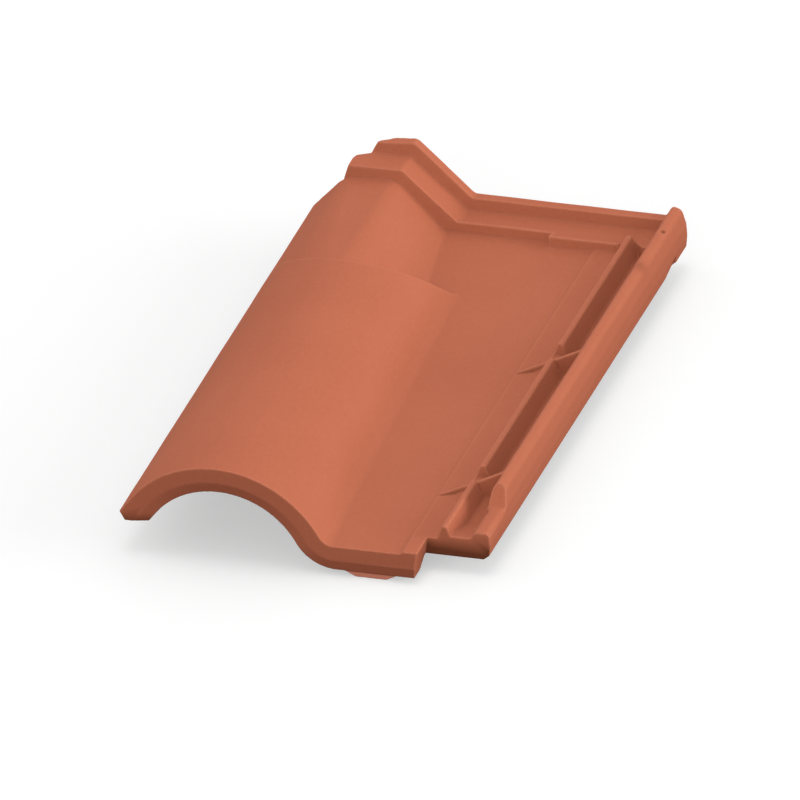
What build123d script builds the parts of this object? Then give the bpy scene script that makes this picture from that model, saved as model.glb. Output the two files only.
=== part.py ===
"""Interlocking clay roof tile, pressed and fired as one piece.

A tapered roll runs along the left side and a flat pan along the middle. The right side has a water
channel between two ribs, which the next tile's roll covers. The head is lower than the roll and ends
in two stairs, and the nose has a drip lip. Sections are drawn in (across, height) from the tile's left
edge and the floor, and placed along the tile from the nose.
"""

import os
from math import hypot, sqrt

from build123d import *

# Whole tile, in millimetres
tile_width = 255.0
tile_length = 430.0
wall = 11.0
pan_top = 23.6
overrun = 5.0

# Roll: an arch from the left foot to the pan, lower and narrower where it meets the step
foot_top = 32.4
foot_bottom = 25.6
foot_inset = 3.3
roll_radius_nose = 78.0
roll_crest_nose = 74.0
roll_radius_step = 66.0
roll_crest_step = 68.1
roll_flank = 17.0
valley_radius = 11.0
valley_sink = 0.15

# Nose: a face as deep as the wall, a bevel under it, then a lip that runs out into the underside
lip_depth = 19.5
lip_bevel_back = 2.5
lip_back = 14.0
lip_runout = 22.0
nose_pad_left = 156.0
nose_pad_width = 38.0
nose_pad_flat_width = 22.0
nose_pad_start = 3.0
nose_pad_length = 12.0

# Step: a leaning face where the roll drops to the head
step_from_head = 147.0
step_lean_share = 0.96

# Head: a flat ridge with slanted sides, from the step to the first stair
ridge_left_step = 37.0
ridge_right_step = 71.3
ridge_base_step = 111.0
ridge_top_step = 67.2
ridge_left_stair = 23.5
ridge_right_stair = 61.5
ridge_base_stair = 93.0
ridge_top_stair = 59.2
ridge_left_drop_stair = 2.0
# Share of the flat top that the round of each shoulder takes up
ridge_left_round_share_step = 0.56
ridge_left_round_share_stair = 0.15
ridge_right_round_share_step = 0.33
ridge_right_round_share_stair = 0.15
ridge_valley_radius = 5.0
ridge_inner_round = 3.0

# Stairs at the head: a tread with a small lip on its edge, and a rim behind it
stair_from_head = 28.4
stair_advance = 5.0
stair_advance_left = 168.0
tread_pan_top = 30.7
tread_roll_top = 67.8
tread_slope_foot = 103.0
tread_slope_head = 65.3
tread_left = 27.2
tread_left_drop = 0.5
tread_lip_height = 1.4
tread_lip_width = 2.6
rim_from_head = 10.0
rim_width = 7.2
rim_pan_top = 40.5
rim_roll_top = 78.4
rim_slope_foot = 106.7
rim_slope_head = 69.0
rim_left = 42.5
rim_left_lean = 5.0
rim_left_drop = 2.3
stair_round = 5.0
tread_left_lean = 5.0
corner_cut_along = 4.5
corner_cut_across = 11.5

# Side lock, measured in from the right edge: band, inner rib, channel and outer rib
band_from_edge = 57.0
band_height = 1.9
band_ramp = 2.5
inner_rib_from_edge = 37.5
inner_rib_width = 11.0
inner_rib_crown = 3.6
inner_rib_top = 35.0
channel_from_edge = 26.0
channel_width = 12.0
channel_floor = 20.2
outer_rib_from_edge = 12.0
outer_rib_shoulder = 41.2
outer_rib_crown_from_edge = 8.8
outer_rib_top = 46.4
outer_rib_fall_from_edge = 2.4
outer_rib_fall = 44.2
outer_rib_cheek = 33.7
outer_wall_low = 25.0
outer_foot = 15.8
outer_foot_inset = 1.4
outer_under_inset = 5.5
lock_root_round = 1.8
inner_rib_round = 1.8
inner_rib_end_from_head = 25.0
outer_rib_crown_round = 3.0
outer_rib_fall_round = 5.0
outer_rib_cheek_round = 12.0

# Notch at the nose's right corner, and the lock's lower end beside it
notch_width = 44.4
notch_slant = 4.2
notch_length = 22.0
low_rib_top = 33.1
low_rib_end = 57.0
low_rib_ramp = 15.0
channel_ramp_height = 8.0
channel_ramp_length = 30.0

# Bars across the lock, each with a gap in the inner rib behind it and a ramp on the band before it
bar_places = (76.0, 236.0)
bar_reach = 43.0
bar_skew = 18.5
bar_thickness = 2.4
bar_high = 38.7
bar_ramp_length = 11.0
bar_crest = 1.6
gap_start = 8.0
gap_length = 18.0

# End wall of the channel, slanted in plan
channel_end_inner_from_head = 23.0
channel_end_outer_from_head = 31.0
channel_end_reach = 10.0

# Marks on the outer rib
nail_mark_diameter = 4.0
nail_mark_depth = 2.0
nail_mark_from_edge = 5.5
nail_mark_from_head = 31.0
recess_width = 7.0
recess_from_head = 87.0
recess_length = 11.0
recess_depth = 0.7
edge_nick_from_head = 43.0
edge_nick_length = 21.0
edge_nick_depth = 3.0
edge_nick_top = 20.5

# Nibs under the head, which hook behind a roof batten
nib_from_head = 45.0
nib_length = 15.0
nib_left = 150.0
nib_width = 50.0
nib_draft = 2.0
foot_nib_width = 12.0

# Places worked out from the sizes above
step_crest = tile_length - step_from_head
step_foot = step_crest + step_lean_share * (roll_crest_step - pan_top)
step_floor = step_crest + step_lean_share * roll_crest_step
stair_face = tile_length - stair_from_head
rim_face = tile_length - rim_from_head
rim_back = rim_face + rim_width
pan_under = pan_top - wall
band_top = pan_top + band_height
lip_bottom = pan_top - lip_depth
channel_left = tile_width - channel_from_edge
channel_end_inner = tile_length - channel_end_inner_from_head
channel_end_outer = tile_length - channel_end_outer_from_head
channel_end_left = channel_left - inner_rib_width / 2
outer_rib_left = tile_width - outer_rib_from_edge
band_left = tile_width - band_from_edge
inner_rib_left = tile_width - inner_rib_from_edge


def across(along):
    """Plane square to the tile's length: x runs from the left edge, y is height."""
    corner = (-tile_width / 2, along - tile_length / 2, 0)
    return Plane(origin=corner, x_dir=(1, 0, 0), z_dir=(0, -1, 0))


def lengthwise(place):
    """Upright plane along the tile: x runs from the nose, y is height."""
    corner = (place - tile_width / 2, -tile_length / 2, 0)
    return Plane(origin=corner, x_dir=(0, 1, 0), z_dir=(1, 0, 0))


def plan(height):
    """Level plane: x runs from the left edge, y from the nose."""
    return Plane(origin=(-tile_width / 2, -tile_length / 2, height))


def between(start, end, share):
    """Value that lies the given share of the way from start to end."""
    return start + (end - start) * share


def unit(x, y):
    """Vector of length one with the direction (x, y)."""
    length = hypot(x, y)
    return x / length, y / length


def roll_lines(along, depth):
    """Foot of the flank, arch and bend into the pan: the roll's upper face sunk by a depth."""
    share = along / step_foot
    radius = between(roll_radius_nose, roll_radius_step, share)
    crest = between(roll_crest_nose, roll_crest_step, share)
    height = crest - radius
    centre = (sqrt(radius**2 + roll_flank**2 - (foot_top - height) ** 2), height)
    valley_height = pan_top + valley_radius - valley_sink
    reach = radius + valley_radius
    valley = (centre[0] + sqrt(reach**2 - (valley_height - height) ** 2), valley_height)
    # The flank leaves the foot and touches the arch, so the two are square to one radius there
    to_foot = unit(-centre[0], foot_top - height)
    run, rise = roll_flank, radius
    out = unit(to_foot[0] * rise + to_foot[1] * run, to_foot[1] * rise - to_foot[0] * run)
    ahead = (out[1], -out[0])
    arch_radius = radius - depth
    bend_radius = valley_radius + depth
    touch = (centre[0] + arch_radius * out[0], height + arch_radius * out[1])
    foot_height = foot_top if depth == 0 else foot_bottom
    foot = (touch[0] + ahead[0] * (foot_height - touch[1]) / ahead[1], foot_height)
    toward = unit(valley[0] - centre[0], valley_height - height)
    meet = (centre[0] + arch_radius * toward[0], height + arch_radius * toward[1])
    halfway = unit(-toward[0], -toward[1] - 1)
    middle = (valley[0] + bend_radius * halfway[0], valley_height + bend_radius * halfway[1])
    low = (valley[0], valley_height - bend_radius)
    return foot, [touch, (centre[0], height + arch_radius), meet], [meet, middle, low]


def roll_section(along):
    """Filled section of the roll, down to the floor."""
    foot, arch, bend = roll_lines(along, 0)
    with BuildSketch(across(along)) as section:
        with BuildLine():
            Line(foot, arch[0])
            ThreePointArc(*arch)
            ThreePointArc(*bend)
            Polyline(bend[2], (bend[2][0], 0), (foot_inset, 0), (foot_inset, foot_bottom), foot)
        make_face()
    return section.sketch


def roll_hollow_section(along, depth):
    """Section of the space under the roll, a depth below its upper face."""
    foot, arch, bend = roll_lines(along, depth)
    with BuildSketch(across(along)) as section:
        with BuildLine():
            Line(foot, arch[0])
            ThreePointArc(*arch)
            ThreePointArc(*bend)
            Polyline(bend[2], (bend[2][0], -overrun), (-overrun, -overrun), (-overrun, foot_bottom), foot)
        make_face()
    return section.sketch


def ridge_corners(along):
    """Left foot, two shoulders, base and pan point of the head's upper face."""
    share = (along - step_crest) / (stair_face - step_crest)
    left = between(ridge_left_step, ridge_left_stair, share)
    right = between(ridge_right_step, ridge_right_stair, share)
    base = between(ridge_base_step, ridge_base_stair, share)
    top = between(ridge_top_step, ridge_top_stair, share)
    drop = between(0, ridge_left_drop_stair, share)
    low = pan_top - valley_sink
    return [(0, foot_top), (left, top - drop), (right, top), (base, low), (base + wall, low)]


def sunk(points, depth):
    """Open outline moved to its right-hand side by a depth, with mitred corners."""
    normals = []
    for start, end in zip(points, points[1:]):
        ahead = unit(end[0] - start[0], end[1] - start[1])
        normals.append((ahead[1], -ahead[0]))
    moved = []
    for point, before, after in zip(points, normals[:1] + normals, normals + normals[-1:]):
        mitre = depth / (1 + before[0] * after[0] + before[1] * after[1])
        moved.append((point[0] + mitre * (before[0] + after[0]), point[1] + mitre * (before[1] + after[1])))
    return moved


def foot_point(points):
    """Point on the first line of an outline at the height of the foot's underside."""
    (x0, z0), (x1, z1) = points[0], points[1]
    return x0 + (x1 - x0) * (foot_bottom - z0) / (z1 - z0), foot_bottom


def shoulder_radius(before, corner, after, reach):
    """Radius of the arc that takes up a reach of the two lines that meet at a corner."""
    ahead = unit(corner[0] - before[0], corner[1] - before[1])
    beyond = unit(after[0] - corner[0], after[1] - corner[1])
    cosine = ahead[0] * beyond[0] + ahead[1] * beyond[1]
    return reach * sqrt((1 + cosine) / (1 - cosine))


def ridge_section(along):
    """Filled section of the head, down to the floor."""
    share = (along - step_crest) / (stair_face - step_crest)
    corners = ridge_corners(along)
    foot, left, right, base = corners[:4]
    top_length = right[0] - left[0]
    left_share = between(ridge_left_round_share_step, ridge_left_round_share_stair, share)
    left_round = shoulder_radius(foot, left, right, left_share * top_length)
    right_share = between(ridge_right_round_share_step, ridge_right_round_share_stair, share)
    right_round = shoulder_radius(left, right, base, right_share * top_length)
    outline = [(foot_inset, 0), (foot_inset, foot_bottom), *corners, (corners[-1][0], 0)]
    with BuildSketch(across(along)) as section:
        with BuildLine():
            radii = [0, 0, 0, left_round, right_round, ridge_valley_radius, 0, 0]
            FilletPolyline(outline, radius=radii, close=True)
        make_face()
    return section.sketch


def ridge_hollow_section(along):
    """Section of the space under the head."""
    inner = sunk(ridge_corners(along), wall)
    outline = [(-overrun, -overrun), (-overrun, foot_bottom), foot_point(inner), *inner[1:]]
    outline.append((inner[-1][0], -overrun))
    with BuildSketch(across(along)) as section:
        with BuildLine():
            radii = [0, 0, 0, ridge_inner_round, ridge_inner_round, ridge_valley_radius + wall, 0, 0]
            FilletPolyline(outline, radius=radii, close=True)
        make_face()
    return section.sketch


# The step's plane faces the head, and its inner copy lies one wall nearer the nose
step_plane = Plane(
    origin=(0, step_crest - tile_length / 2, roll_crest_step),
    x_dir=(1, 0, 0),
    z_dir=(0, 1, step_lean_share),
)
inner_step_plane = step_plane.offset(-wall)
head_start = step_crest - overrun
hollow_start = step_crest - 3 * wall
roll_end = step_floor + overrun

with BuildPart() as roll:
    loft([roll_section(0), roll_section(roll_end)], ruled=True)
    split(bisect_by=step_plane, keep=Keep.BOTTOM)

with BuildPart() as head:
    loft([ridge_section(head_start), ridge_section(stair_face)], ruled=True)
    split(bisect_by=step_plane, keep=Keep.TOP)

# Pan and side lock, one section all along the tile, as points with the radius at each
deck_outline = [
    ((foot_inset + wall, 0), 0),
    ((foot_inset + wall, pan_top), 0),
    ((band_left, pan_top), lock_root_round),
    ((band_left + band_ramp, band_top), lock_root_round),
    ((inner_rib_left, band_top), lock_root_round),
    ((inner_rib_left + (inner_rib_width - inner_rib_crown) / 2, inner_rib_top), inner_rib_round),
    ((inner_rib_left + (inner_rib_width + inner_rib_crown) / 2, inner_rib_top), inner_rib_round),
    ((channel_left, channel_floor), lock_root_round),
    ((channel_left + channel_width, channel_floor), lock_root_round),
    ((outer_rib_left, outer_rib_shoulder), inner_rib_round),
    ((tile_width - outer_rib_crown_from_edge, outer_rib_top), outer_rib_crown_round),
    ((tile_width - outer_rib_fall_from_edge, outer_rib_fall), outer_rib_fall_round),
    ((tile_width, outer_rib_cheek), outer_rib_cheek_round),
    ((tile_width, outer_wall_low), lock_root_round),
    ((tile_width - outer_foot_inset, outer_foot), 0),
    ((tile_width - outer_under_inset, pan_under), 0),
    ((tile_width - outer_under_inset, 0), 0),
]
with BuildPart() as deck:
    with BuildSketch(across(0)):
        with BuildLine():
            corners = [point for point, _ in deck_outline]
            FilletPolyline(corners, radius=[radius for _, radius in deck_outline], close=True)
        make_face()
    extrude(amount=-tile_length)
    # The pan stops at the rim's back, and only the outer rib goes on to the end
    with BuildSketch(plan(0)):
        with BuildLine():
            Polyline(
                (0, rim_back),
                (outer_rib_left, rim_back),
                (outer_rib_left, tile_length + overrun),
                (0, tile_length + overrun),
                close=True,
            )
        make_face()
    extrude(amount=outer_rib_top + overrun, mode=Mode.SUBTRACT)

# Stairs: the tread and the rim follow the head's slope down to the pan
tread_outline = [
    (tread_left, tread_roll_top - tread_left_drop),
    (tread_slope_head, tread_roll_top),
    (tread_slope_foot, tread_pan_top),
    (outer_rib_left + overrun, tread_pan_top),
]
rim_outline = [
    (rim_left - rim_left_lean, tread_roll_top),
    (rim_left, rim_roll_top - rim_left_drop),
    (rim_slope_head, rim_roll_top),
    (rim_slope_foot, rim_pan_top),
    (outer_rib_left + overrun, rim_pan_top),
]
with BuildPart() as stairs:
    with BuildSketch(across(stair_face)):
        with BuildLine():
            right_end = [(stair_advance_left, tread_pan_top), (stair_advance_left, 0)]
            left_low = ridge_top_stair - ridge_left_drop_stair
            left_end = [(ridge_left_stair, 0), (ridge_left_stair, left_low)]
            radii = [0, stair_round, stair_round, 0, 0, 0, 0]
            FilletPolyline(tread_outline[:3] + right_end + left_end, radius=radii, close=True)
        make_face()
    extrude(amount=stair_face - rim_back)
    # Right of the middle the tread comes forward, and it ends in the channel's slanted wall
    with BuildSketch(plan(0)):
        with BuildLine():
            Polyline(
                (stair_advance_left, stair_face - stair_advance),
                (inner_rib_left, stair_face - stair_advance),
                (channel_end_left, channel_end_inner),
                (channel_end_left + channel_end_reach, channel_end_outer),
                (outer_rib_left + overrun, channel_end_outer),
                (outer_rib_left + overrun, rim_back),
                (stair_advance_left, rim_back),
                close=True,
            )
        make_face()
    extrude(amount=tread_pan_top)
    with BuildSketch(plan(tread_pan_top)):
        with BuildLine():
            Polyline(
                (tread_slope_foot - tread_lip_height, stair_face),
                (stair_advance_left, stair_face),
                (stair_advance_left, stair_face - stair_advance),
                (inner_rib_left, stair_face - stair_advance),
                (inner_rib_left, stair_face - stair_advance + tread_lip_width),
                (stair_advance_left + tread_lip_width, stair_face - stair_advance + tread_lip_width),
                (stair_advance_left + tread_lip_width, stair_face + tread_lip_width),
                (tread_slope_foot - tread_lip_height, stair_face + tread_lip_width),
                close=True,
            )
        make_face()
    extrude(amount=tread_lip_height)
    with BuildSketch(across(rim_face)):
        with BuildLine():
            rim_foot = [(rim_outline[-1][0], 0), (rim_outline[0][0], 0)]
            radii = [0, 0, stair_round, stair_round, 0, 0, 0]
            FilletPolyline(rim_outline + rim_foot, radius=radii, close=True)
        make_face()
    extrude(amount=-rim_width)
    # The back left corner is cut off in plan
    with BuildSketch(plan(0)):
        with BuildLine():
            Polyline(
                (0, stair_face),
                (ridge_left_stair, stair_face),
                (ridge_left_stair + tread_left_lean, rim_face - corner_cut_along),
                (rim_left - rim_left_lean, rim_face),
                (rim_left + corner_cut_across, rim_back),
                (rim_left + corner_cut_across, rim_back + overrun),
                (0, rim_back + overrun),
                close=True,
            )
        make_face()
    extrude(amount=rim_roll_top + overrun, mode=Mode.SUBTRACT)

# Hollows of the underside: under the roll and the pan, with the nose lip left standing
lip_steps = [
    (-overrun, wall),
    (0, wall),
    (lip_bevel_back, lip_depth),
    (lip_back, lip_depth),
    (lip_runout, wall),
]
with BuildPart() as roll_hollow:
    roll_steps = lip_steps + [(roll_end, wall)]
    loft([roll_hollow_section(place, depth) for place, depth in roll_steps], ruled=True)
    split(bisect_by=inner_step_plane, keep=Keep.BOTTOM)

with BuildPart() as pan_hollow:
    with BuildSketch(lengthwise(ridge_right_stair + wall)):
        with BuildLine():
            under_line = [(place, pan_top - depth) for place, depth in lip_steps]
            end = tile_length + overrun
            Polyline(*under_line, (end, pan_under), (end, -overrun), (-overrun, -overrun), close=True)
        make_face()
    extrude(amount=tile_width - ridge_right_stair - wall + overrun)

with BuildPart() as head_hollow:
    loft([ridge_hollow_section(hollow_start), ridge_hollow_section(stair_face + wall)], ruled=True)
    split(bisect_by=inner_step_plane, keep=Keep.TOP)

with BuildPart() as stair_hollow:
    with BuildSketch(across(stair_face + wall)):
        with BuildLine():
            inner = sunk(tread_outline, wall)
            Polyline(
                (-overrun, -overrun),
                (-overrun, inner[0][1]),
                inner[1],
                inner[2],
                (channel_left + channel_width, inner[2][1]),
                (channel_left + channel_width, pan_under),
                (tile_width + overrun, pan_under),
                (tile_width + overrun, -overrun),
                close=True,
            )
        make_face()
    extrude(amount=stair_face + wall - tile_length - overrun)

with BuildPart() as tile:
    for piece in (roll, deck, head, stairs):
        add(piece.part)
    for hollow in (roll_hollow, pan_hollow, head_hollow, stair_hollow):
        add(hollow.part, mode=Mode.SUBTRACT)

    # Notch at the nose's right corner, where the next tile's lock passes
    with BuildSketch(across(-overrun)):
        with BuildLine():
            Polyline(
                (tile_width - notch_width, outer_rib_top + overrun),
                (tile_width - notch_width, band_top),
                (tile_width - notch_width - notch_slant, lip_bottom),
                (tile_width - notch_width - notch_slant, -overrun),
                (tile_width + overrun, -overrun),
                (tile_width + overrun, outer_rib_top + overrun),
                close=True,
            )
        make_face()
    extrude(amount=-notch_length - overrun, mode=Mode.SUBTRACT)

    # The outer rib starts low beside the notch and ramps up
    with BuildSketch(lengthwise(channel_left)):
        with BuildLine():
            Polyline(
                (-overrun, low_rib_top),
                (low_rib_end, low_rib_top),
                (low_rib_end + low_rib_ramp, outer_rib_top + overrun),
                (-overrun, outer_rib_top + overrun),
                close=True,
            )
        make_face()
    extrude(amount=channel_from_edge + overrun, mode=Mode.SUBTRACT)

    # The channel's floor ramps up towards the notch
    with BuildSketch(lengthwise(channel_left - inner_rib_crown)):
        with BuildLine():
            Polyline(
                (notch_length, pan_under),
                (notch_length, channel_floor + channel_ramp_height),
                (notch_length + channel_ramp_length, channel_floor),
                (notch_length + channel_ramp_length, pan_under),
                close=True,
            )
        make_face()
    extrude(amount=channel_width + 2 * inner_rib_crown)

    # The inner rib stops where it meets the tread
    with BuildSketch(plan(tread_pan_top)):
        with BuildLine():
            rib_end = tile_length - inner_rib_end_from_head
            Polyline(
                (inner_rib_left, rib_end),
                (channel_left, rib_end),
                (channel_left, rim_face),
                (inner_rib_left, rim_face),
                close=True,
            )
        make_face()
    extrude(amount=inner_rib_top, mode=Mode.SUBTRACT)

    # Gaps in the inner rib, then the skewed bars in front of them
    for place in bar_places:
        with BuildSketch(plan(band_top)):
            with BuildLine():
                Polyline(
                    (inner_rib_left, place + gap_start),
                    (channel_left, place + gap_start),
                    (channel_left, place + gap_start + gap_length),
                    (inner_rib_left, place + gap_start + gap_length),
                    close=True,
                )
            make_face()
        extrude(amount=inner_rib_top, mode=Mode.SUBTRACT)
        bar_start = (band_left + band_ramp - tile_width / 2, place - tile_length / 2, 0)
        bar_plane = Plane(origin=bar_start, x_dir=(bar_reach, bar_skew, 0), z_dir=(bar_skew, -bar_reach, 0))
        bar_length = hypot(bar_reach, bar_skew)
        with BuildSketch(bar_plane):
            with BuildLine():
                Polyline(
                    (0, pan_under + wall / 2),
                    (0, band_top),
                    (bar_length, bar_high),
                    (bar_length + outer_rib_from_edge / 2, bar_high),
                    (bar_length + outer_rib_from_edge / 2, pan_under + wall / 2),
                    close=True,
                )
            make_face()
        extrude(amount=bar_thickness / 2, both=True)
        # The ramp runs out to a point at the bar's low end, and leaves the bar's crest standing
        ramp_end = inner_rib_left + (inner_rib_width - inner_rib_crown) / 2
        ramp_share = (ramp_end - band_left - band_ramp) / bar_reach
        ramp_back = place + ramp_share * bar_skew
        ramp_top = between(band_top, bar_high, ramp_share) - bar_crest
        with BuildSketch(lengthwise(ramp_end), mode=Mode.PRIVATE) as ramp_section:
            with BuildLine():
                Polyline(
                    (ramp_back - bar_ramp_length, pan_top),
                    (ramp_back, ramp_top),
                    (ramp_back, pan_top),
                    close=True,
                )
            make_face()
        loft([ramp_section.sketch, Vertex(bar_start[0], bar_start[1], pan_top)])

    # Marks on the outer rib: a nail dimple, a shallow recess and a tapered nick in the lower edge
    nail_radius = (nail_mark_diameter**2 / 4 + nail_mark_depth**2) / (2 * nail_mark_depth)
    nail_lift = (outer_rib_top + outer_rib_fall) / 2 + nail_radius - nail_mark_depth
    nail_place = (tile_width / 2 - nail_mark_from_edge, tile_length / 2 - nail_mark_from_head, nail_lift)
    with Locations(nail_place):
        Sphere(nail_radius, mode=Mode.SUBTRACT)
    rib_face = [
        (outer_rib_left, outer_rib_shoulder),
        (tile_width - outer_rib_crown_from_edge, outer_rib_top),
        (outer_rib_left + recess_width, outer_rib_top),
    ]
    with BuildSketch(across(tile_length - recess_from_head)):
        with BuildLine():
            Polyline(
                *sunk(rib_face, recess_depth),
                (outer_rib_left + recess_width, outer_rib_top + overrun),
                (outer_rib_left - overrun, outer_rib_top + overrun),
                close=True,
            )
        make_face()
    extrude(amount=-recess_length, mode=Mode.SUBTRACT)
    with BuildSketch(plan(0)):
        with BuildLine():
            nick_start = tile_length - edge_nick_from_head
            nick_end = nick_start + edge_nick_length
            low_edge = tile_width - outer_foot_inset
            Polyline(
                (low_edge, nick_start),
                (low_edge - edge_nick_depth, nick_end),
                (tile_width + overrun, nick_end),
                (tile_width + overrun, nick_start),
                close=True,
            )
        make_face()
    extrude(amount=edge_nick_top, mode=Mode.SUBTRACT)

    # Pad under the nose
    with BuildSketch(across(nose_pad_start)):
        with BuildLine():
            pad_slope = (nose_pad_width - nose_pad_flat_width) / 2
            Polyline(
                (nose_pad_left, pan_under),
                (nose_pad_left, lip_bottom),
                (nose_pad_left + pad_slope, 0),
                (nose_pad_left + nose_pad_width - pad_slope, 0),
                (nose_pad_left + nose_pad_width, lip_bottom),
                (nose_pad_left + nose_pad_width, pan_under),
                close=True,
            )
        make_face()
    extrude(amount=-nose_pad_length)

    # Nibs under the head: a wide one below the pan and a narrow one below the roll's foot
    nib_face = tile_length - nib_from_head
    nibs = ((nib_left, nib_width, pan_under), (foot_inset, foot_nib_width, foot_top))
    for left, width, top in nibs:
        with BuildSketch(across(nib_face)):
            with BuildLine():
                Polyline(
                    (left + nib_draft, 0),
                    (left + width - nib_draft, 0),
                    (left + width, top),
                    (left, top),
                    close=True,
                )
            make_face()
        extrude(amount=-nib_length)

tile.part.label = "roof_tile"
os.makedirs("parts", exist_ok=True)
export_step(tile.part, "parts/roof_tile.step")
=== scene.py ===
"""Clay roof tile: the pressed tile with softened edges, in fired clay, on a plain studio stage."""

import math

import bpy
import numpy as np
from mathutils import Matrix, Vector


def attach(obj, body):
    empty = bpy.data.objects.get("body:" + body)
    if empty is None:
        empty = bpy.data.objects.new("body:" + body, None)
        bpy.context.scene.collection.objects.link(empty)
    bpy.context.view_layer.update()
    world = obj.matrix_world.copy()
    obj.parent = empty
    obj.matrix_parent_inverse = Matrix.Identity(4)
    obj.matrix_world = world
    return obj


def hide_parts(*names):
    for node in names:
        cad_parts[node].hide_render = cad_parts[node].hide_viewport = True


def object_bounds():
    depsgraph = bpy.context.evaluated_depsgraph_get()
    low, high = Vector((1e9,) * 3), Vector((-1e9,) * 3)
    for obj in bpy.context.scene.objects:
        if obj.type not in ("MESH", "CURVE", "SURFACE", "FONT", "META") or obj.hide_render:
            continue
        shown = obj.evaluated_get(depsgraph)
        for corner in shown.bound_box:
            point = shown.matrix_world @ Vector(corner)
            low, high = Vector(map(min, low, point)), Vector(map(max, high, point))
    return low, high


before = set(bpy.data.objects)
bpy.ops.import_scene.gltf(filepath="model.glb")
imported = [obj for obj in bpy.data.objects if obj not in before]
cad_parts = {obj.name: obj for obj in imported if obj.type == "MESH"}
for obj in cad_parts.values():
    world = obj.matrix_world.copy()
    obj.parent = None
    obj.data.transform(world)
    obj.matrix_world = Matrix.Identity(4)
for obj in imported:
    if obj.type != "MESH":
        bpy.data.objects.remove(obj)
CAD_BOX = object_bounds()

bl_info = {
    "name": "Clay Roof Tile",
    "version": (1, 0, 0),
    "blender": (4, 5, 0),
    "location": "View3D > Sidebar > Roof Tile",
    "description": "Builds a pressed and fired interlocking roof tile around its packed model",
    "category": "Object",
}

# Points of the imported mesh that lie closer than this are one, and no divisor is smaller than the guard
MERGE_DISTANCE = 1e-6
GUARD = 1e-12

# Parts of a normal: where a face starts to count as underside and over how much it fades in, where it
# counts as facing the nose, and where it is level enough to be creased in full
UNDER_START = 0.15
UNDER_FADE = 0.25
FACING_NOSE = 0.5
LEVEL_ENOUGH = 0.5

# Marks of painted shade in the nail mark and the recess on the outer rib: distance from the edge and the
# head, half width, half length and strength
RIB_MARK_SHADE = (
    (0.0055, 0.0310, 0.0019, 0.0019, 0.45),
    (0.0052, 0.0778, 0.0034, 0.0048, 0.38),
)

# Shares of painted shade, a dark colour put where shade falls: on the underside, on the roll's foot, and
# in the crease at its two ends
UNDER_SHARE = 0.4
FOOT_SHARE = 0.75
PAINTED_SHADE_AT_LOW_END = 0.6
PAINTED_SHADE_AT_RIB = 0.3

# Lengths over which the crease fades at an end, and within which a point lies on the notch's face
CREASE_FADE = 0.003
NOTCH_FACE_REACH = 0.0015

# Patterns in the clay, as blobs in each metre
DRIFT_SCALE = 9
MOTTLE_SCALE = 260
RAGGED_SCALE = 420
SPECK_SCALE = 850
GRAIN_SCALE = 1500

# Floor: its grey to the light that it throws back, and its grey and glow to the camera
FLOOR_BOUNCE = (0.18, 0.18, 0.18)
FLOOR_SEEN = (0.60, 0.60, 0.60)
FLOOR_GLOW = 0.45

# Lamps: name, azimuth counted from the nose towards the lock, elevation and width, in degrees
LAMPS = (
    ("top", 0, 89, 25),
    ("right", 95, 12, 40),
    ("left", 265, 35, 50),
    ("front", 5, 14, 50),
    ("back", 185, 30, 50),
)


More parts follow.
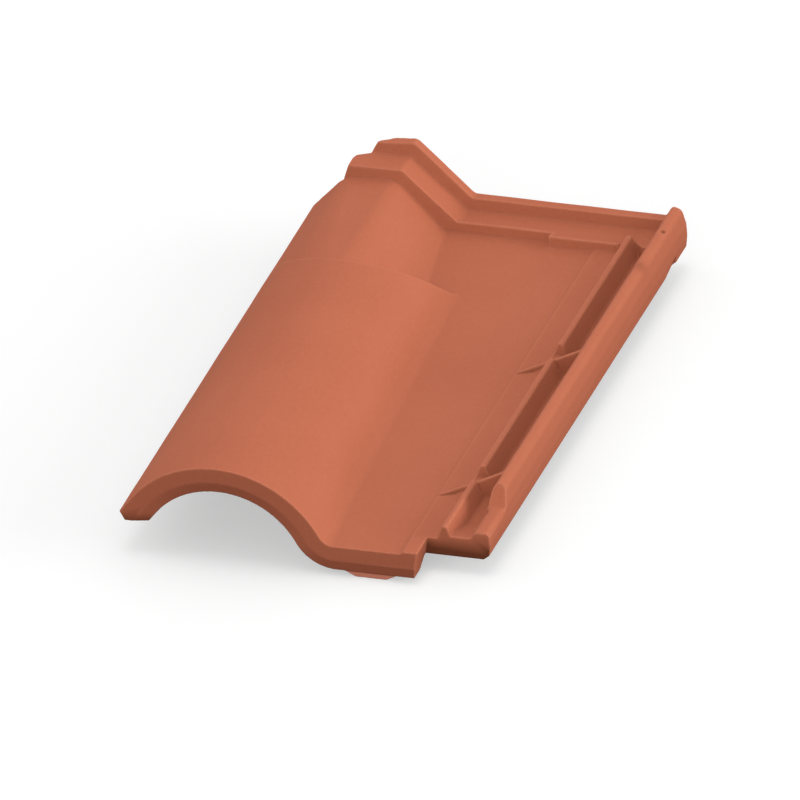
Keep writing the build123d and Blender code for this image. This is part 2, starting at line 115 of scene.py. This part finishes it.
class TileProperties(bpy.types.PropertyGroup):
    """Surface of the pressed tile."""

    cell: bpy.props.FloatProperty(
        name="Cell",
        description="Side of the cells that the pressed surface is rebuilt from",
        unit="LENGTH",
        precision=5,
        default=0.0006,
    )
    softening: bpy.props.IntProperty(
        name="Softening",
        description="Rounds of smoothing that take the sharpness off the pressed edges",
        default=3,
    )
    triangles: bpy.props.IntProperty(
        name="Triangles",
        description="Most triangles that the finished surface keeps",
        default=190000,
    )
    wave_height: bpy.props.FloatProperty(
        name="Wave height",
        description="Height of the slow unevenness that drying and firing leave on the upper face",
        unit="LENGTH",
        precision=5,
        default=0.00012,
    )
    wave_length: bpy.props.FloatProperty(
        name="Wave length",
        description="Length of that unevenness from crest to crest",
        unit="LENGTH",
        default=0.075,
    )
    # The hollows that this sets are darkened partly as dust and partly as painted shade
    edge_radius: bpy.props.FloatProperty(
        name="Edge radius",
        description="Radius of an edge or hollow that counts as fully rubbed or fully dusty",
        unit="LENGTH",
        precision=5,
        default=0.0032,
    )
    notch_depth: bpy.props.FloatProperty(
        name="Notch depth",
        description="How far the notch beside the side lock goes in from the nose",
        unit="LENGTH",
        default=0.022,
    )
    # The notch's face below this height gets painted shade, a dark colour in place of shade
    notch_top: bpy.props.FloatProperty(
        name="Notch top",
        description="Height below which the notch's face turns bare and dark",
        unit="LENGTH",
        default=0.0252,
    )
    notch_fade: bpy.props.FloatProperty(
        name="Notch fade",
        description="Height over which the notch's face turns from slip to bare clay",
        unit="LENGTH",
        default=0.0055,
    )
    # The roll's foot below these limits gets painted shade, a dark colour in place of shade
    foot_width: bpy.props.FloatProperty(
        name="Foot width",
        description="Width of the roll's foot at the nose that is bare along its lower edge",
        unit="LENGTH",
        default=0.030,
    )
    foot_top: bpy.props.FloatProperty(
        name="Foot top",
        description="Height below which the roll's foot turns bare and dark",
        unit="LENGTH",
        default=0.0325,
    )
    # The pad below gets painted light, a pale colour on a face that would be in shade
    pad_left: bpy.props.FloatProperty(
        name="Pad left",
        description="Distance of the worn pad under the nose from the roll's edge",
        unit="LENGTH",
        default=0.156,
    )
    pad_width: bpy.props.FloatProperty(
        name="Pad width",
        description="Width of the worn pad under the nose",
        unit="LENGTH",
        default=0.038,
    )
    pad_height: bpy.props.FloatProperty(
        name="Pad height",
        description="Height of the worn pad under the nose",
        unit="LENGTH",
        default=0.0039,
    )
    low_rib_width: bpy.props.FloatProperty(
        name="Low rib width",
        description="Width of the outer rib's low end beside the notch",
        unit="LENGTH",
        default=0.012,
    )
    low_rib_top: bpy.props.FloatProperty(
        name="Low rib top",
        description="Height of the outer rib's low end",
        unit="LENGTH",
        default=0.0331,
    )
    low_rib_end: bpy.props.FloatProperty(
        name="Low rib end",
        description="Distance from the nose at which the low end starts to climb",
        unit="LENGTH",
        default=0.057,
    )
    low_rib_round: bpy.props.FloatProperty(
        name="Low rib round",
        description="Radius of the low end's two long edges",
        unit="LENGTH",
        default=0.004,
    )
    bar_places: bpy.props.FloatVectorProperty(
        name="Bar places",
        description="Distances of the two bars' low ends from the nose",
        unit="LENGTH",
        size=2,
        default=(0.076, 0.236),
    )
    bar_from_edge: bpy.props.FloatProperty(
        name="Bar from edge",
        description="Distance of the bars' low ends from the lock's edge",
        unit="LENGTH",
        default=0.0545,
    )
    bar_reach: bpy.props.FloatProperty(
        name="Bar reach",
        description="How far a bar runs across the tile",
        unit="LENGTH",
        default=0.043,
    )
    bar_skew: bpy.props.FloatProperty(
        name="Bar skew",
        description="How far a bar runs along the tile meanwhile",
        unit="LENGTH",
        default=0.0185,
    )
    crease_ahead: bpy.props.FloatProperty(
        name="Crease ahead",
        description="Distance of the crease before a bar's middle line",
        unit="LENGTH",
        precision=5,
        default=0.0014,
    )
    crease_width: bpy.props.FloatProperty(
        name="Crease width",
        description="Half width of the crease",
        unit="LENGTH",
        precision=5,
        default=0.0008,
    )
    crease_depth: bpy.props.FloatProperty(
        name="Crease depth",
        description="Depth of the crease",
        unit="LENGTH",
        precision=5,
        default=0.0005,
    )
    crease_length: bpy.props.FloatProperty(
        name="Crease length",
        description="How far the crease runs along a bar, up to the inner rib",
        unit="LENGTH",
        default=0.0175,
    )


class ClayProperties(bpy.types.PropertyGroup):
    """Colours of the fired clay."""

    body: bpy.props.FloatVectorProperty(
        name="Body",
        description="Main colour of the fired clay",
        subtype="COLOR",
        size=3,
        min=0,
        max=1,
        default=(0.534, 0.149, 0.0755),
    )
    deep: bpy.props.FloatVectorProperty(
        name="Deep",
        description="Colour where the clay fired a little darker",
        subtype="COLOR",
        size=3,
        min=0,
        max=1,
        default=(0.508, 0.138, 0.0690),
    )
    pale: bpy.props.FloatVectorProperty(
        name="Pale",
        description="Colour of edges that are rubbed paler",
        subtype="COLOR",
        size=3,
        min=0,
        max=1,
        default=(0.612, 0.200, 0.112),
    )
    # Dark colour in corners and hollows: partly clay dust, partly painted shade
    dust_and_shade: bpy.props.FloatVectorProperty(
        name="Dust",
        description="Colour of the clay dust in corners",
        subtype="COLOR",
        size=3,
        min=0,
        max=1,
        default=(0.470, 0.140, 0.076),
    )
    # Painted shade: the dark colour put on the underside, the notch's face, the roll's foot, the bars'
    # creases and the rib's marks in place of shade
    painted_shade_colour: bpy.props.FloatVectorProperty(
        name="Raw",
        description="Colour of the faces that got no slip",
        subtype="COLOR",
        size=3,
        min=0,
        max=1,
        default=(0.18, 0.046, 0.018),
    )
    # Painted light: a pale colour on the pad under the nose, which lights a face that would be in shade
    worn: bpy.props.FloatVectorProperty(
        name="Worn",
        description="Colour of the pad that is rubbed pale where the tile stands on it",
        subtype="COLOR",
        size=3,
        min=0,
        max=1,
        default=(0.80, 0.27, 0.175),
    )
    bounce: bpy.props.FloatVectorProperty(
        name="Bounce",
        description="Colour of the light that the clay throws into its own hollows",
        subtype="COLOR",
        size=3,
        min=0,
        max=1,
        default=(0.60, 0.52, 0.47),
    )
    speck: bpy.props.FloatVectorProperty(
        name="Speck",
        description="Colour of the fine iron specks in the clay",
        subtype="COLOR",
        size=3,
        min=0,
        max=1,
        default=(0.30, 0.080, 0.042),
    )


class StageProperties(bpy.types.PropertyGroup):
    """Camera, lamps and floor."""

    azimuth: bpy.props.FloatProperty(
        name="Azimuth",
        description="Turn of the camera round the tile, from straight in front of the nose",
        subtype="ANGLE",
        default=math.radians(21.49),
    )
    elevation: bpy.props.FloatProperty(
        name="Elevation",
        description="Height of the camera above the floor, as an angle",
        subtype="ANGLE",
        default=math.radians(31.04),
    )
    roll: bpy.props.FloatProperty(
        name="Roll",
        description="Turn of the camera about its own line of sight",
        subtype="ANGLE",
        default=math.radians(-4.91),
    )
    view_width: bpy.props.FloatProperty(
        name="View width",
        description="Width that the parallel camera takes in",
        unit="LENGTH",
        default=0.53515,
    )
    aim: bpy.props.FloatVectorProperty(
        name="Aim",
        description="Point in the middle of the picture",
        subtype="XYZ",
        unit="LENGTH",
        size=3,
        default=(0.0117, -0.0402, 0.0327),
    )
    distance: bpy.props.FloatProperty(
        name="Distance",
        description="Distance of the camera from that point",
        unit="LENGTH",
        default=2.0,
    )
    sky: bpy.props.FloatProperty(
        name="Sky",
        description="Light from all round, where 1 shows a colour as it is written",
        default=0.55,
    )
    top_lamp: bpy.props.FloatProperty(
        name="Top lamp",
        description="Strength of the soft lamp overhead",
        default=0.48,
    )
    right_lamp: bpy.props.FloatProperty(
        name="Right lamp",
        description="Strength of the low soft lamp on the lock's side",
        default=1.82,
    )
    left_lamp: bpy.props.FloatProperty(
        name="Left lamp",
        description="Strength of the soft lamp on the roll's side",
        default=0.27,
    )
    front_lamp: bpy.props.FloatProperty(
        name="Front lamp",
        description="Strength of the low soft lamp before the nose",
        default=0.64,
    )
    back_lamp: bpy.props.FloatProperty(
        name="Back lamp",
        description="Strength of the soft lamp behind the head",
        default=0.20,
    )
    floor_size: bpy.props.FloatProperty(
        name="Floor size",
        description="Side of the floor",
        unit="LENGTH",
        default=12.0,
    )


def finished(piece):
    """Mesh of a piece with its modifiers applied; the piece itself is taken away."""
    bpy.context.scene.collection.objects.link(piece)
    mesh = bpy.data.meshes.new_from_object(piece.evaluated_get(bpy.context.evaluated_depsgraph_get()))
    bpy.data.meshes.remove(piece.data)
    if not len(mesh.polygons):
        raise RuntimeError("the tile's surface could not be rebuilt")
    return mesh


def even_net(node, tile):
    """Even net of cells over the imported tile, with softened edges.

    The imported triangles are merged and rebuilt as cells, and each point is drawn halfway to the mean
    of its neighbours a few times, which rounds edges by about a cell and leaves planes flat.
    """
    piece = bpy.data.objects.new("pressing", node.data.copy())
    piece.modifiers.new("merge", "WELD").merge_threshold = MERGE_DISTANCE
    net = piece.modifiers.new("net", "REMESH")
    net.mode = "VOXEL"
    net.voxel_size = tile.cell
    soft = piece.modifiers.new("soft", "SMOOTH")
    soft.factor = 0.5
    soft.iterations = tile.softening
    return finished(piece)


def thinned(mesh, tile):
    """The net with fewer and larger faces where it is flat; the points keep their stored values."""
    piece = bpy.data.objects.new("pressing", mesh)
    thin = piece.modifiers.new("thin", "DECIMATE")
    thin.ratio = min(1.0, tile.triangles / (2 * len(mesh.polygons)))
    return finished(piece)


def round_low_rib(points, tile):
    """Rounds the two long edges of the outer rib's low end.

    In a section across the tile, a point beyond an arc of radius r about the edge's centre is drawn
    back to it: centre + (point - centre) r / distance. The radius runs out where the rib climbs.
    """
    along = points[:, 1] - CAD_BOX[0][1]
    radius = tile.low_rib_round * np.clip((tile.low_rib_end - along) / tile.low_rib_round, 0, 1)
    for side, edge in ((-1, CAD_BOX[1][0] - tile.low_rib_width), (1, CAD_BOX[1][0])):
        centre = np.stack([edge - side * radius, tile.low_rib_top - radius], -1)
        reach = points[:, ::2] - centre
        distance = np.hypot(*reach.T)
        corner = (reach[:, 0] * side > 0) & (reach[:, 1] > 0) & (distance < 1.5 * radius)
        beyond = corner & (distance > radius)
        share = radius / np.maximum(distance, GUARD)
        points[beyond, ::2] = (centre + reach * share[:, None])[beyond]


def bar_feet(points, tile):
    """Share of the crease at the foot of the two bars at each point, from 0 to 1, and of the painted shade
    in it.

    The crease is a bell, exp(-(d / w)^2), where d is the distance in plan from a line that runs before
    the bar on the nose's side. It fades in at the bar's low end and out at the inner rib, and its painted
    shade is half as strong at the rib as at the low end.
    """
    run = np.array([tile.bar_reach, tile.bar_skew])
    run /= np.hypot(*run)
    ahead = np.array([run[1], -run[0]])
    crease = np.zeros(len(points))
    painted_crease_shade = np.zeros(len(points))
    for place in tile.bar_places:
        start = np.array([CAD_BOX[1][0] - tile.bar_from_edge, CAD_BOX[0][1] + place])
        offset = points[:, :2] - start
        down = (offset @ ahead - tile.crease_ahead) / tile.crease_width
        way = offset @ run
        begun = np.clip(way / CREASE_FADE + 0.5, 0, 1)
        ended = np.clip((tile.crease_length - way) / CREASE_FADE + 0.5, 0, 1)
        bell = np.exp(-down * down) * (begun * ended) * (points[:, 2] > tile.notch_top)
        crease = np.maximum(crease, bell)
        progress = np.clip(way / tile.crease_length, 0, 1)
        # Painted shade in the crease: a dark colour along the bar's foot in place of its shadow
        painted_crease_shade = np.maximum(painted_crease_shade, bell * (PAINTED_SHADE_AT_LOW_END + (PAINTED_SHADE_AT_RIB - PAINTED_SHADE_AT_LOW_END) * progress))
    return crease, painted_crease_shade


def rib_mark_shade(points, tile):
    """Share of the painted shade in the nail mark and the recess on the outer rib at each point.

    Each mark is a flat-topped bell, s exp(-(x / w)^4 - (y / l)^4), about its middle.
    """
    share = np.zeros(len(points))
    for from_edge, from_head, width, length, strength in RIB_MARK_SHADE:
        across = (points[:, 0] - CAD_BOX[1][0] + from_edge) / width
        along = (points[:, 1] - CAD_BOX[1][1] + from_head) / length
        share = np.maximum(share, strength * np.exp(-(across**4) - along**4))
    return share * (points[:, 2] > tile.low_rib_top)


def points_of(mesh):
    """Points, outward normals and edges of a mesh as arrays."""
    points = np.empty((len(mesh.vertices), 3), np.float32)
    mesh.vertices.foreach_get("co", points.ravel())
    normals = np.empty_like(points)
    mesh.vertex_normals.foreach_get("vector", normals.ravel())
    edges = np.empty((len(mesh.edges), 2), np.int32)
    mesh.edges.foreach_get("vertices", edges.ravel())
    return points, normals, edges


def mean_of_neighbours(values, edges):
    """Mean of a value over the neighbours of each point: the sums along the edges over their counts."""
    first, second = edges.T
    size = len(values)
    total = np.bincount(first, values[second], size) + np.bincount(second, values[first], size)
    count = np.bincount(first, minlength=size) + np.bincount(second, minlength=size)
    return total / np.maximum(count, 1)


def bend_of(points, normals, edges):
    """Bend of the surface at each point, above zero on edges and below zero in corners.

    Along an edge it is the turn of the normal times the step, over the step squared, which is one
    over the radius on a round. A point takes the mean over its edges, evened out once.
    """
    first, second = edges.T
    step = points[second] - points[first]
    turn = normals[second] - normals[first]
    bend = (turn * step).sum(1) / np.maximum((step * step).sum(1), GUARD)
    size = len(points)
    total = np.bincount(first, bend, size) + np.bincount(second, bend, size)
    count = np.bincount(first, minlength=size) + np.bincount(second, minlength=size)
    mean = total / np.maximum(count, 1)
    return (mean + mean_of_neighbours(mean, edges)) / 2


def drying_wave(points, normals, tile):
    """Slow unevenness of the upper face, as a height at each point.

    height = a sin(x' + 1.4 sin(0.6 y')) cos(0.8 y' + 1.1 sin(0.5 x')), with x' and y' in turns of the
    wave length, faded out where the face is steeper than about 70 degrees.
    """
    across, along = (points[:, :2] * (2 * math.pi / tile.wave_length)).T
    wave = np.sin(across + 1.4 * np.sin(0.6 * along)) * np.cos(0.8 * along + 1.1 * np.sin(0.5 * across))
    upward = np.clip((normals[:, 2] - 0.2) / 0.3, 0, 1)
    return tile.wave_height * wave * upward


def painted_shade_faces(points, normals, tile):
    """Share of painted shade at each point, a dark colour in place of shade, as the largest of three
    shares.

    They are the underside, which fades in as a face turns down, and the roll's foot on the nose's face
    and the notch's face below the lock's floor, which fade in evenly over a height.
    """
    under = np.clip((-UNDER_START - normals[:, 2]) / UNDER_FADE, 0, 1)
    to_nose = normals[:, 1] < -FACING_NOSE
    notch_face = CAD_BOX[0][1] + tile.notch_depth
    near_notch = (np.abs(points[:, 1] - notch_face) < NOTCH_FACE_REACH) & to_nose
    low = np.clip((tile.notch_top - points[:, 2]) / tile.notch_fade, 0, 1)
    near_foot = (points[:, 0] < CAD_BOX[0][0] + tile.foot_width) & to_nose
    foot = np.clip((tile.foot_top - points[:, 2]) / tile.notch_fade, 0, 1)
    return np.max([UNDER_SHARE * under, FOOT_SHARE * foot * near_foot, low * near_notch], axis=0)


def painted_light_pad(points, tile):
    """Share of painted light at each point: 1 on the pad under the nose that the tile stands on, 0
    elsewhere.
    """
    across = points[:, 0] - CAD_BOX[0][0] - tile.pad_left
    inside = (across > 0) & (across < tile.pad_width)
    near_nose = points[:, 1] < CAD_BOX[0][1] + tile.notch_depth
    return inside & near_nose & (points[:, 2] < tile.pad_height)


def store(mesh, name, values):
    """Puts a value on each point of a mesh under a name that the clay reads."""
    mesh.attributes.new(name, "FLOAT", "POINT").data.foreach_set("value", values.astype(np.float32))


def new_material(name):
    """Empty node material: its nodes, its links and the output node."""
    material = bpy.data.materials.new(name)
    material.use_nodes = True
    nodes = material.node_tree.nodes
    nodes.clear()
    return material, nodes, material.node_tree.links, nodes.new("ShaderNodeOutputMaterial")


def noise(nodes, links, coordinates, scale, detail=2.0, roughness=0.5):
    """Noise texture over the tile's own coordinates, with about scale blobs in each metre."""
    texture = nodes.new("ShaderNodeTexNoise")
    texture.inputs["Scale"].default_value = scale
    texture.inputs["Detail"].default_value = detail
    texture.inputs["Roughness"].default_value = roughness
    links.new(coordinates, texture.inputs["Vector"])
    return texture.outputs["Fac"]


def stored(nodes, name):
    """Value that the tile's mesh carries under a name."""
    attribute = nodes.new("ShaderNodeAttribute")
    attribute.attribute_name = name
    return attribute.outputs["Fac"]


def spread(nodes, links, value, low, high, to_low=0.0, to_high=1.0):
    """Map Range node that stretches low to high over to_low to to_high, and clamps."""
    node = nodes.new("ShaderNodeMapRange")
    node.inputs["From Min"].default_value = low
    node.inputs["From Max"].default_value = high
    node.inputs["To Min"].default_value = to_low
    node.inputs["To Max"].default_value = to_high
    links.new(value, node.inputs["Value"])
    return node.outputs["Result"]


def combined(nodes, links, operation, first, second):
    """Math node over two sockets."""
    node = nodes.new("ShaderNodeMath")
    node.operation = operation
    links.new(first, node.inputs[0])
    links.new(second, node.inputs[1])
    return node.outputs["Value"]


def mixed(nodes, links, share, first, second):
    """Colour mix, where first and second are colours or sockets."""
    node = nodes.new("ShaderNodeMix")
    node.data_type = "RGBA"
    links.new(share, node.inputs["Factor"])
    for colour, socket in ((first, node.inputs["A"]), (second, node.inputs["B"])):
        if isinstance(colour, bpy.types.NodeSocket):
            links.new(colour, socket)
        else:
            socket.default_value = (*colour, 1.0)
    return node.outputs["Result"]


def bumped(nodes, links, height, distance, strength, under=None):
    """Bump node that raises a height by a distance, over another bump if one is given."""
    node = nodes.new("ShaderNodeBump")
    node.inputs["Strength"].default_value = strength
    node.inputs["Distance"].default_value = distance
    links.new(height, node.inputs["Height"])
    if under is not None:
        links.new(under, node.inputs["Normal"])
    return node.outputs["Normal"]


def fired_clay(clay):
    """Matt terracotta: kiln shades, mottled slip, specks, rubbed edges, corners darkened partly as dust
    and partly as painted shade, painted shade on the underside, the notch, the foot, the creases and the
    rib's marks, a painted light on the pad, and grain.

    Light that the clay throws into its own hollows takes the bounce colour, which is nearly neutral.
    """
    material, nodes, links, output = new_material("fired_clay")
    shader = nodes.new("ShaderNodeBsdfPrincipled")
    shader.inputs["Specular IOR Level"].default_value = 0.2
    place = nodes.new("ShaderNodeTexCoord").outputs["Object"]

    drift = spread(nodes, links, noise(nodes, links, place, DRIFT_SCALE, 2), 0.36, 0.64)
    shade = mixed(nodes, links, drift, clay.deep, clay.body)
    mottle = noise(nodes, links, place, MOTTLE_SCALE, 3, 0.6)
    shade = mixed(nodes, links, spread(nodes, links, mottle, 0.48, 0.75, 0, 0.14), shade, clay.pale)
    grain = noise(nodes, links, place, GRAIN_SCALE, 3, 0.65)
    shade = mixed(nodes, links, spread(nodes, links, grain, 0.45, 0.75, 0, 0.28), shade, clay.pale)
    shade = mixed(nodes, links, spread(nodes, links, grain, 0.25, 0.45, 0.22, 0), shade, clay.speck)
    specks = noise(nodes, links, place, SPECK_SCALE, 1)
    shade = mixed(nodes, links, spread(nodes, links, specks, 0.69, 0.79, 0, 0.7), shade, clay.speck)

    # Corners and hollows darkened, partly as clay dust and partly as painted shade
    corners = spread(nodes, links, stored(nodes, "corner"), 0.1, 1.0, 0, 0.6)
    shade = mixed(nodes, links, corners, shade, clay.dust_and_shade)
    ragged = noise(nodes, links, place, RAGGED_SCALE, 3)
    ragged = spread(nodes, links, ragged, 0.3, 0.7, 0.35, 1.0)
    rubbed = spread(nodes, links, stored(nodes, "edge"), 0.15, 1.0, 0, 0.8)
    rubbed = combined(nodes, links, "MULTIPLY", rubbed, ragged)
    shade = mixed(nodes, links, rubbed, shade, clay.pale)
    # Painted shade on the underside, the notch's face, the foot, the creases and the rib's marks
    shade = mixed(nodes, links, stored(nodes, "bare"), shade, clay.painted_shade_colour)
    # Painted light: a pale colour on the pad under the nose
    shade = mixed(nodes, links, stored(nodes, "worn"), shade, clay.worn)
    bounced = nodes.new("ShaderNodeLightPath").outputs["Is Diffuse Ray"]
    shade = mixed(nodes, links, bounced, shade, clay.bounce)
    links.new(shade, shader.inputs["Base Color"])

    links.new(spread(nodes, links, grain, 0.2, 0.8, 0.70, 0.88), shader.inputs["Roughness"])
    pits = spread(nodes, links, specks, 0.66, 0.80, 1, 0)
    relief = bumped(nodes, links, mottle, 0.0004, 0.12)
    relief = bumped(nodes, links, pits, 0.0002, 0.35, relief)
    links.new(bumped(nodes, links, grain, 0.0002, 0.35, relief), shader.inputs["Normal"])
    links.new(shader.outputs["BSDF"], output.inputs["Surface"])
    return material


class ROOFTILE_OT_tile(bpy.types.Operator):
    """Press the tile: soften its edges, give it its slow waves and fire it in clay"""

    bl_idname = "rooftile.tile"
    bl_label = "Tile"

    def execute(self, context):
        tile = context.scene.rooftile_tile
        net = even_net(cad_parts["roof_tile"], tile)
        points, normals, _ = points_of(net)
        crease, painted_crease_shade = bar_feet(points, tile)
        points += normals * drying_wave(points, normals, tile)[:, None]
        points[:, 2] -= tile.crease_depth * crease * np.clip(normals[:, 2] / LEVEL_ENOUGH, 0, 1)
        round_low_rib(points, tile)
        net.vertices.foreach_set("co", points.ravel())
        net.update()
        points, normals, edges = points_of(net)
        bend = bend_of(points, normals, edges) * tile.edge_radius
        # Painted shade on the underside, the notch's face, the foot and the rib's marks, joined below with
        # the crease's painted shade
        bare = np.maximum(painted_shade_faces(points, normals, tile), rib_mark_shade(points, tile))
        store(net, "edge", np.clip(bend, 0, 1))
        store(net, "corner", np.clip(-bend, 0, 1))
        store(net, "bare", np.maximum(bare, painted_crease_shade))
        # Painted light on the pad under the nose
        store(net, "worn", painted_light_pad(points, tile))
        mesh = thinned(net, tile)
        mesh.name = "fired_tile"
        mesh.polygons.foreach_set("use_smooth", np.ones(len(mesh.polygons), bool))
        mesh.materials.clear()
        mesh.materials.append(fired_clay(context.scene.rooftile_clay))
        mesh.update()
        piece = bpy.data.objects.new("fired_tile", mesh)
        context.scene.collection.objects.link(piece)
        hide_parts("roof_tile")
        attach(piece, "root")
        return {"FINISHED"}


def pale_floor_material():
    """Pale floor: near white where the camera sees it, and a quiet grey to other light."""
    material, nodes, links, output = new_material("pale_floor")
    seen = nodes.new("ShaderNodeLightPath").outputs["Is Camera Ray"]
    shader = nodes.new("ShaderNodeBsdfPrincipled")
    shader.inputs["Roughness"].default_value = 0.9
    shader.inputs["Specular IOR Level"].default_value = 0.0
    links.new(mixed(nodes, links, seen, FLOOR_BOUNCE, FLOOR_SEEN), shader.inputs["Base Color"])
    shader.inputs["Emission Color"].default_value = (1, 1, 1, 1)
    links.new(spread(nodes, links, seen, 0, 1, 0.0, FLOOR_GLOW), shader.inputs["Emission Strength"])
    links.new(shader.outputs["BSDF"], output.inputs["Surface"])
    return material


def make_floor(size):
    """Flat square floor just under the tile."""
    side = np.array([-size / 2, size / 2])
    x, y = np.meshgrid(side, side)
    corners = np.stack([x.ravel(), y.ravel(), np.zeros(4)], -1)
    mesh = bpy.data.meshes.new("floor")
    mesh.from_pydata(corners.tolist(), [], [(0, 1, 3, 2)])
    mesh.materials.append(pale_floor_material())
    floor = bpy.data.objects.new("floor", mesh)
    bpy.context.scene.collection.objects.link(floor)


def make_sun(name, azimuth, elevation, strength, width):
    """Soft distant lamp that shines from an azimuth and an elevation, in degrees as its width is."""
    data = bpy.data.lights.new(name, "SUN")
    data.energy = strength
    data.angle = math.radians(width)
    lamp = bpy.data.objects.new(name, data)
    bpy.context.scene.collection.objects.link(lamp)
    turn, lift = math.radians(azimuth), math.radians(elevation)
    toward = Vector((math.sin(turn) * math.cos(lift), -math.cos(turn) * math.cos(lift), math.sin(lift)))
    lamp.rotation_mode = "QUATERNION"
    lamp.rotation_quaternion = toward.to_track_quat("Z", "Y")


def make_world(sky):
    """Even light from all round, which the camera and gloss see as white."""
    world = bpy.data.worlds.new("studio")
    world.use_nodes = True
    nodes, links = world.node_tree.nodes, world.node_tree.links
    nodes.clear()
    path = nodes.new("ShaderNodeLightPath")
    seen = path.outputs["Is Camera Ray"]
    for other in ("Is Glossy Ray", "Is Transmission Ray"):
        seen = combined(nodes, links, "MAXIMUM", seen, path.outputs[other])
    background = nodes.new("ShaderNodeBackground")
    links.new(spread(nodes, links, seen, 0, 1, sky, 1.0), background.inputs["Strength"])
    background.inputs["Color"].default_value = (1, 1, 1, 1)
    output = nodes.new("ShaderNodeOutputWorld")
    links.new(background.outputs["Background"], output.inputs["Surface"])
    bpy.context.scene.world = world


def make_camera(stage):
    """Parallel camera on the photograph's line of sight."""
    turn, lift, roll = stage.azimuth, stage.elevation, stage.roll
    back = Vector((math.sin(turn) * math.cos(lift), -math.cos(turn) * math.cos(lift), math.sin(lift)))
    level = Vector((math.cos(turn), math.sin(turn), 0))
    right = level * math.cos(roll) + back.cross(level) * math.sin(roll)
    data = bpy.data.cameras.new("camera")
    data.type = "ORTHO"
    data.ortho_scale = stage.view_width
    camera = bpy.data.objects.new("camera", data)
    bpy.context.scene.collection.objects.link(camera)
    axes = Matrix((right, back.cross(right), back)).transposed()
    camera.matrix_world = Matrix.Translation(Vector(stage.aim) + back * stage.distance) @ axes.to_4x4()
    bpy.context.scene.camera = camera


class ROOFTILE_OT_stage(bpy.types.Operator):
    """Set the floor, lamps and camera round the tile"""

    bl_idname = "rooftile.stage"
    bl_label = "Stage"

    def execute(self, context):
        stage = context.scene.rooftile_stage
        context.scene.view_settings.view_transform = "Standard"
        make_floor(stage.floor_size)
        make_world(stage.sky)
        for name, azimuth, elevation, width in LAMPS:
            make_sun(name, azimuth, elevation, getattr(stage, name + "_lamp"), width)
        make_camera(stage)
        return {"FINISHED"}


class ROOFTILE_PT_panel(bpy.types.Panel):
    """Sidebar panel with the tile's steps and settings"""

    bl_label = "Clay Roof Tile"
    bl_idname = "ROOFTILE_PT_panel"
    bl_space_type = "VIEW_3D"
    bl_region_type = "UI"
    bl_category = "Roof Tile"

    def draw(self, context):
        scene = context.scene
        for settings in (scene.rooftile_tile, scene.rooftile_clay, scene.rooftile_stage):
            box = self.layout.box()
            for name in settings.__annotations__:
                box.prop(settings, name)
        for step in STEPS:
            self.layout.operator(step.bl_idname)


STEPS = (ROOFTILE_OT_tile, ROOFTILE_OT_stage)
CLASSES = (TileProperties, ClayProperties, StageProperties, *STEPS, ROOFTILE_PT_panel)


def register():
    """Registers the classes and hangs their settings on the scene."""
    for each in CLASSES:
        bpy.utils.register_class(each)
    bpy.types.Scene.rooftile_tile = bpy.props.PointerProperty(type=TileProperties)
    bpy.types.Scene.rooftile_clay = bpy.props.PointerProperty(type=ClayProperties)
    bpy.types.Scene.rooftile_stage = bpy.props.PointerProperty(type=StageProperties)


def unregister():
    """Takes the settings and classes away again."""
    del bpy.types.Scene.rooftile_stage
    del bpy.types.Scene.rooftile_clay
    del bpy.types.Scene.rooftile_tile
    for each in reversed(CLASSES):
        bpy.utils.unregister_class(each)


def main():
    """Registers the add-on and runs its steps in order."""
    register()
    bpy.ops.rooftile.tile()
    bpy.ops.rooftile.stage()


if __name__ == "__main__":
    main()
